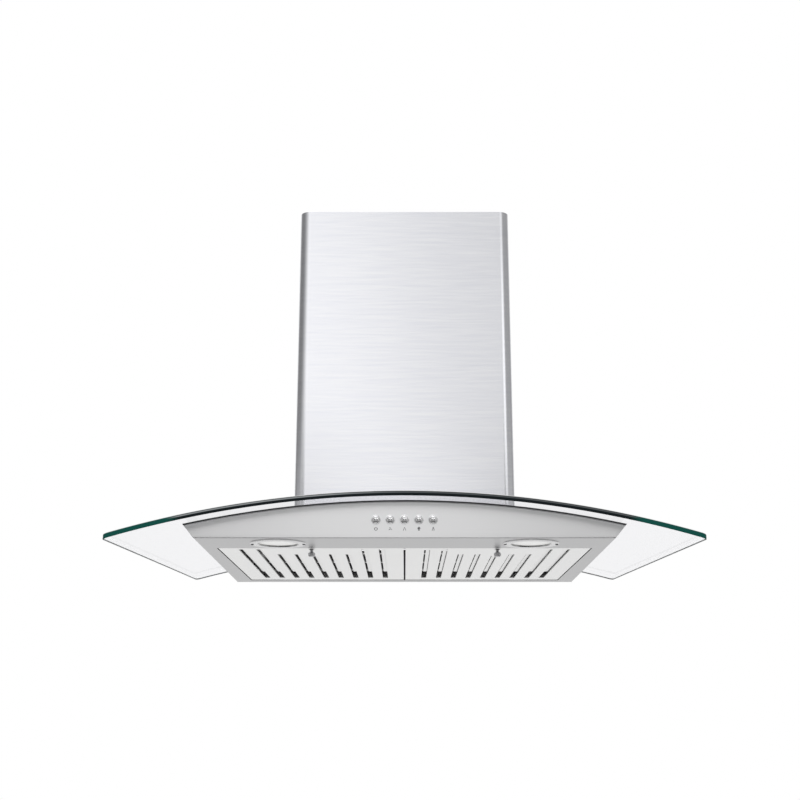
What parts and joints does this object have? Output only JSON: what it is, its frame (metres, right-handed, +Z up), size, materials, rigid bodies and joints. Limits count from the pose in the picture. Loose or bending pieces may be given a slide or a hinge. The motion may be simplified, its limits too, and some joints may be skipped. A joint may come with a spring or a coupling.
{
  "type": "wall chimney hood",
  "caption": "Wall-mounted extractor hood: arched glass canopy on a shallow steel tray with slotted filters, lamps and push buttons, below a rectangular chimney with a fan inside.",
  "frame": {"origin": "centre of the four wall holes, on the wall plane at the back of the blower casing", "axes": "+Z up, front of the hood towards -Y, wall plane at y = 0"},
  "size_m": [0.699, 0.487, 0.511],
  "materials": {
    "stainless": "fine brushed",
    "clear_glass": "clear toughened, green edge",
    "black_rubber": "matt",
    "galvanised": "zinc coated",
    "plated_screws": "zinc plated",
    "polished_metal": "polished",
    "black_plastic": "moulded",
    "grey_plastic": "moulded",
    "lamp_can": "satin",
    "frosted_lens": "frosted white",
    "motor_paint": "grey",
    "capacitor_can": "white"
  },
  "bodies": {
    "hood": {"blower_casing": "galvanised", "button_bezels": "polished_metal", "cable_gland": "black_plastic", "canopy_tray": "stainless", "capacitor": "capacitor_can", "capacitor_clip": "galvanised", "casing_cover": "galvanised", "casing_screws": "plated_screws", "casing_seal": "black_rubber", "chimney_brackets": "galvanised", "chimney_cover": "stainless", "chimney_screws": "plated_screws", "clamp_bolts": "plated_screws", "clamp_nuts": "plated_screws", "collar_screws": "plated_screws", "damper_pin": "plated_screws", "front_scroll": "black_plastic", "glass_canopy": "clear_glass", "glass_seal": "black_rubber", "lamp_driver": "grey_plastic", "lamp_screws": "plated_screws", "left_lamp_bezel": "polished_metal", "left_lamp_body": "lamp_can", "left_lamp_lens": "frosted_lens", "motor": "motor_paint", "motor_bracket": "galvanised", "motor_bushes": "black_rubber", "motor_screws": "plated_screws", "outlet_collar": "black_plastic", "rear_panel": "stainless", "rear_scroll": "black_plastic", "right_lamp_bezel": "polished_metal", "right_lamp_body": "lamp_can", "right_lamp_lens": "frosted_lens", "scroll_screws": "plated_screws", "switch_housing": "black_plastic", "switch_studs": "plated_screws", "terminal_box": "grey_plastic", "terminal_cover": "grey_plastic", "top_plate": "stainless", "wiring_loom": "black_plastic"},
    "left_filter": {"left_filter_face": "stainless", "left_filter_louvres": "stainless", "left_latch_guide": "stainless"},
    "right_filter": {"right_filter_face": "stainless", "right_filter_louvres": "stainless", "right_latch_guide": "stainless"},
    "left_latch": {"left_filter_latch": "polished_metal"},
    "right_latch": {"right_filter_latch": "polished_metal"},
    "fan": {"impeller": "black_plastic", "motor_shaft": "plated_screws", "hub_nut": "plated_screws"},
    "left_flap": {"left_damper_flap": "black_plastic"},
    "right_flap": {"right_damper_flap": "black_plastic"},
    "flue": {"flue_cover": "stainless"},
    "button_1": {"button_1": "polished_metal"},
    "button_2": {"button_2": "polished_metal"},
    "button_3": {"button_3": "polished_metal"},
    "button_4": {"button_4": "polished_metal"},
    "button_5": {"button_5": "polished_metal"}
  },
  "joints": [
    {"name": "button_1_press", "type": "slide", "parent": "hood", "child": "button_1", "axis": [0, 1, 0], "range_m": [0, 0.0025], "stiffness_N_per_m": 400},
    {"name": "button_2_press", "type": "slide", "parent": "hood", "child": "button_2", "axis": [0, 1, 0], "range_m": [0, 0.0025], "stiffness_N_per_m": 400},
    {"name": "button_3_press", "type": "slide", "parent": "hood", "child": "button_3", "axis": [0, 1, 0], "range_m": [0, 0.0025], "stiffness_N_per_m": 400},
    {"name": "button_4_press", "type": "slide", "parent": "hood", "child": "button_4", "axis": [0, 1, 0], "range_m": [0, 0.0025], "stiffness_N_per_m": 400},
    {"name": "button_5_press", "type": "slide", "parent": "hood", "child": "button_5", "axis": [0, 1, 0], "range_m": [0, 0.0025], "stiffness_N_per_m": 400},
    {"name": "left_filter_swing", "type": "hinge", "parent": "hood", "child": "left_filter", "pos_m": [-0.1166, -0.024, -0.1988], "axis": [1, 0, 0], "range_deg": [0, 75]},
    {"name": "left_latch_slide", "type": "slide", "parent": "left_filter", "child": "left_latch", "axis": [0, -1, 0], "range_m": [0, 0.006]},
    {"name": "left_flap_swing", "type": "hinge", "parent": "hood", "child": "left_flap", "pos_m": [0.06175, -0.123, 0.1569], "axis": [0, 1, 0], "range_deg": [0, 80]},
    {"name": "right_filter_swing", "type": "hinge", "parent": "hood", "child": "right_filter", "pos_m": [0.1166, -0.024, -0.1988], "axis": [1, 0, 0], "range_deg": [0, 75]},
    {"name": "right_latch_slide", "type": "slide", "parent": "right_filter", "child": "right_latch", "axis": [0, -1, 0], "range_m": [0, 0.006]},
    {"name": "right_flap_swing", "type": "hinge", "parent": "hood", "child": "right_flap", "pos_m": [0.06175, -0.123, 0.1569], "axis": [0, -1, 0], "range_deg": [0, 80]},
    {"name": "fan_spin", "type": "hinge", "parent": "hood", "child": "fan", "pos_m": [-0.009, -0.123, -0.0103], "axis": [0, 1, 0], "continuous": true},
    {"name": "flue_lift", "type": "slide", "parent": "hood", "child": "flue", "axis": [0, 0, 1], "range_m": [0, 0.3]}
  ]
}
